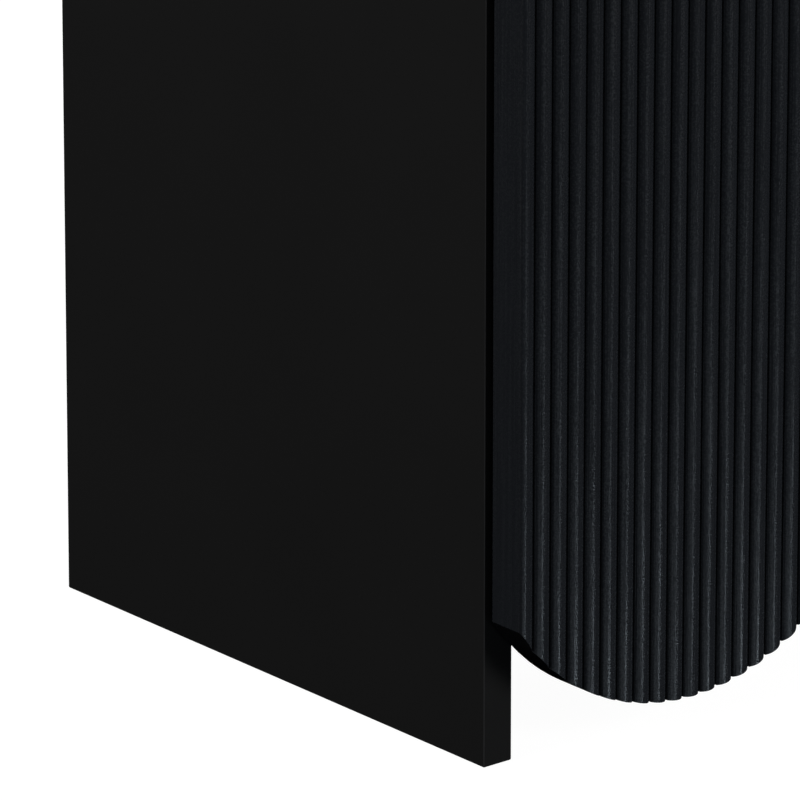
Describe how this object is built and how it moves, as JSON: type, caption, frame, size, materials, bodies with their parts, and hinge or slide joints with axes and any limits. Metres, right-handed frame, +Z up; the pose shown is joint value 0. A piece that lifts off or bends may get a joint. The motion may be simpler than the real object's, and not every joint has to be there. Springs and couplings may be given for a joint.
{
  "type": "sideboard buffet",
  "caption": "Black sideboard with slab sides and thick reeded doors whose bottom edge is a shallow arc, on concealed hinges and push latches.",
  "frame": {"origin": "middle of the footprint, on the floor", "axes": "+X along the width to the right, +Y to the back, +Z up; the doors face -Y"},
  "size_m": [1.02, 0.4, 0.8],
  "materials": {
    "black_board": "dead matt black laminate on MDF",
    "satin_black_paint": "satin black paint on MDF, fine speckle",
    "back_board": "matt black hardboard",
    "beech": "raw",
    "zinc_steel": "zinc plated",
    "nickel_steel": "nickel plated, pressed",
    "cast_zinc": "die cast, dull",
    "latch_plastic": "moulded",
    "plunger_plastic": "moulded",
    "magnet": "nickel plated magnet"
  },
  "bodies": {
    "carcass": {"left_side_panel": "black_board", "right_side_panel": "black_board", "top_panel": "black_board", "bottom_panel": "black_board", "centre_divider": "black_board", "centre_foot": "black_board", "back_panel_left": "back_board", "back_panel_right": "back_board", "shelf_left": "black_board", "shelf_right": "black_board", "shelf_pins": "zinc_steel", "cam_bolts": "zinc_steel", "cam_locks": "cast_zinc", "dowels": "beech", "back_panel_screws": "zinc_steel", "hinge_arm_screws": "zinc_steel", "latch_screws": "zinc_steel", "door_1_hinge_arms": "nickel_steel", "door_1_latch_housing": "latch_plastic", "door_2_hinge_arms": "nickel_steel", "door_2_latch_housing": "latch_plastic", "door_3_hinge_arms": "nickel_steel", "door_3_latch_housing": "latch_plastic", "door_4_hinge_arms": "nickel_steel", "door_4_latch_housing": "latch_plastic"},
    "door_1": {"door_1_panel": "satin_black_paint", "door_1_hinge_cups": "cast_zinc", "door_1_cup_screws": "zinc_steel", "door_1_hinge_pins": "zinc_steel", "door_1_strike_plate": "zinc_steel"},
    "door_1_latch": {"door_1_latch_plunger": "plunger_plastic", "door_1_latch_magnet": "magnet"},
    "door_2": {"door_2_panel": "satin_black_paint", "door_2_hinge_cups": "cast_zinc", "door_2_cup_screws": "zinc_steel", "door_2_hinge_pins": "zinc_steel", "door_2_strike_plate": "zinc_steel"},
    "door_2_latch": {"door_2_latch_plunger": "plunger_plastic", "door_2_latch_magnet": "magnet"},
    "door_3": {"door_3_panel": "satin_black_paint", "door_3_hinge_cups": "cast_zinc", "door_3_cup_screws": "zinc_steel", "door_3_hinge_pins": "zinc_steel", "door_3_strike_plate": "zinc_steel"},
    "door_3_latch": {"door_3_latch_plunger": "plunger_plastic", "door_3_latch_magnet": "magnet"},
    "door_4": {"door_4_panel": "satin_black_paint", "door_4_hinge_cups": "cast_zinc", "door_4_cup_screws": "zinc_steel", "door_4_hinge_pins": "zinc_steel", "door_4_strike_plate": "zinc_steel"},
    "door_4_latch": {"door_4_latch_plunger": "plunger_plastic", "door_4_latch_magnet": "magnet"}
  },
  "joints": [
    {"name": "door_1_swing", "type": "hinge", "parent": "carcass", "child": "door_1", "pos_m": [-0.498, -0.1922, 0.185], "axis": [0, 0, -1], "range_deg": [0, 95]},
    {"name": "door_1_latch_slide", "type": "slide", "parent": "carcass", "child": "door_1_latch", "axis": [0, -1, 0], "range_m": [0, 0.015]},
    {"name": "door_2_swing", "type": "hinge", "parent": "carcass", "child": "door_2", "pos_m": [-0.011, -0.1922, 0.185], "axis": [0, 0, 1], "range_deg": [0, 90]},
    {"name": "door_2_latch_slide", "type": "slide", "parent": "carcass", "child": "door_2_latch", "axis": [0, -1, 0], "range_m": [0, 0.015]},
    {"name": "door_3_swing", "type": "hinge", "parent": "carcass", "child": "door_3", "pos_m": [0.011, -0.1922, 0.185], "axis": [0, 0, -1], "range_deg": [0, 90]},
    {"name": "door_3_latch_slide", "type": "slide", "parent": "carcass", "child": "door_3_latch", "axis": [0, -1, 0], "range_m": [0, 0.015]},
    {"name": "door_4_swing", "type": "hinge", "parent": "carcass", "child": "door_4", "pos_m": [0.498, -0.1922, 0.185], "axis": [0, 0, 1], "range_deg": [0, 95]},
    {"name": "door_4_latch_slide", "type": "slide", "parent": "carcass", "child": "door_4_latch", "axis": [0, -1, 0], "range_m": [0, 0.015]}
  ],
  "couplings": [
    {"joint": "door_1_latch_slide", "follows": "door_1_swing", "m_per_rad": 0.009},
    {"joint": "door_2_latch_slide", "follows": "door_2_swing", "m_per_rad": 0.009},
    {"joint": "door_3_latch_slide", "follows": "door_3_swing", "m_per_rad": 0.009},
    {"joint": "door_4_latch_slide", "follows": "door_4_swing", "m_per_rad": 0.009}
  ]
}
